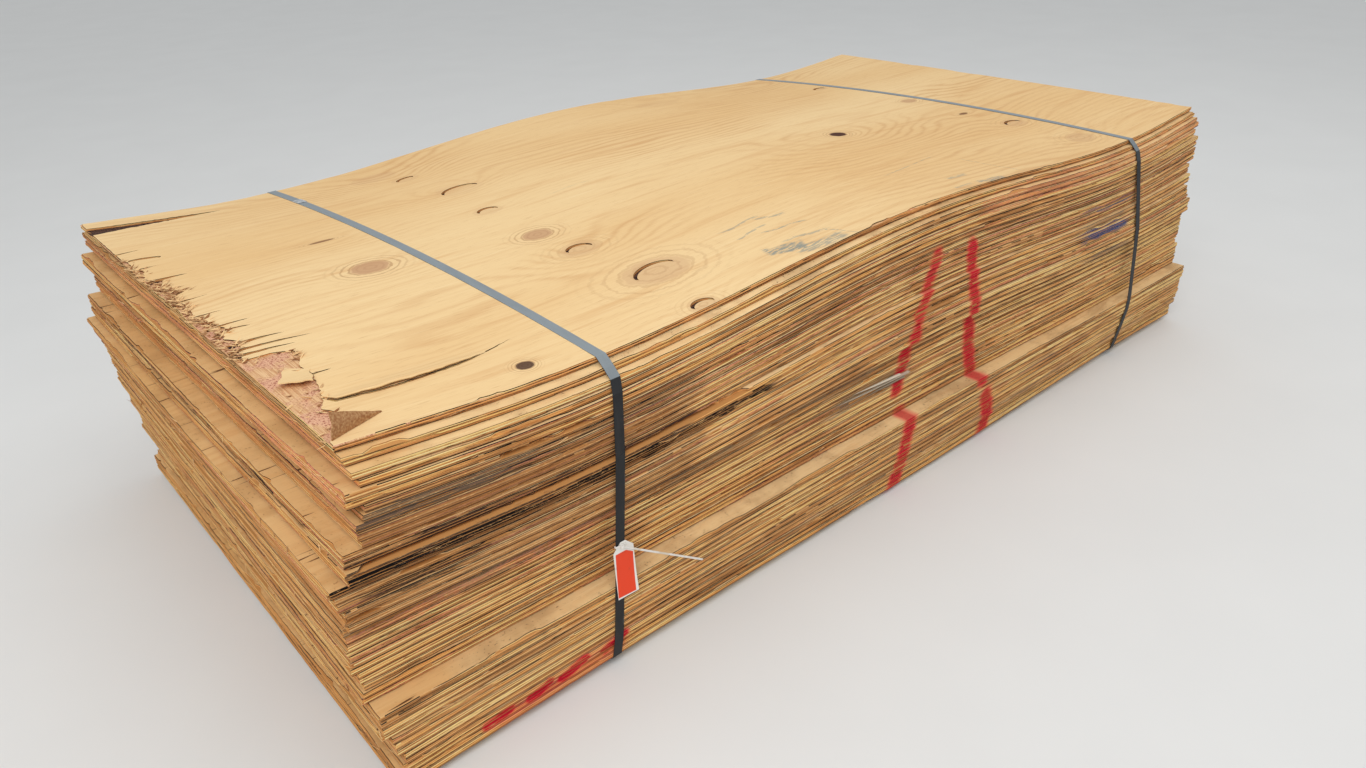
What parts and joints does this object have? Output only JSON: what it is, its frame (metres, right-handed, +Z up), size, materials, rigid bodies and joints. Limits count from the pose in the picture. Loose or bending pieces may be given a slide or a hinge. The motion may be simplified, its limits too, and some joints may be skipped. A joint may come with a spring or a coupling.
{
  "type": "stack of plywood sheets",
  "caption": "Strapped stack of full-size plywood sheets on two flat bearer boards, edges staggered and splintered, bowed between the straps, with a hanging tag",
  "frame": {"origin": "middle of the stack's footprint, on the ground that the bearers stand on", "axes": "+X along the length of the sheets, +Y across them towards the far side, +Z up"},
  "size_m": [2.5074, 1.3066, 0.631],
  "materials": {
    "plywood": "raw veneer",
    "bearer_wood": "weathered",
    "strap_steel": "waxed black",
    "seal_steel": "zinc",
    "tag_card": "coated",
    "tie_nylon": "nylon"
  },
  "bodies": {
    "root": {"bearer_left": "bearer_wood", "bearer_right": "bearer_wood", "cable_tie": "tie_nylon", "seal_left": "seal_steel", "seal_right": "seal_steel", "sheet_01": "plywood", "sheet_02": "plywood", "sheet_03": "plywood", "sheet_04": "plywood", "sheet_05": "plywood", "sheet_06": "plywood", "sheet_07": "plywood", "sheet_08": "plywood", "sheet_09": "plywood", "sheet_10": "plywood", "sheet_11": "plywood", "sheet_12": "plywood", "sheet_13": "plywood", "sheet_14": "plywood", "sheet_15": "plywood", "sheet_16": "plywood", "sheet_17": "plywood", "sheet_18": "plywood", "sheet_19": "plywood", "sheet_20": "plywood", "sheet_21": "plywood", "sheet_22": "plywood", "sheet_23": "plywood", "sheet_24": "plywood", "sheet_25": "plywood", "sheet_26": "plywood", "sheet_27": "plywood", "sheet_28": "plywood", "sheet_29": "plywood", "sheet_30": "plywood", "sheet_31": "plywood", "sheet_32": "plywood", "sheet_33": "plywood", "sheet_34": "plywood", "sheet_35": "plywood", "sheet_36": "plywood", "sheet_37": "plywood", "sheet_38": "plywood", "sheet_39": "plywood", "sheet_40": "plywood", "sheet_41": "plywood", "sheet_42": "plywood", "sheet_43": "plywood", "sheet_44": "plywood", "sheet_45": "plywood", "sheet_46": "plywood", "sheet_47": "plywood", "strap_left": "strap_steel", "strap_right": "strap_steel", "tag": "tag_card"}
  },
  "joints": []
}
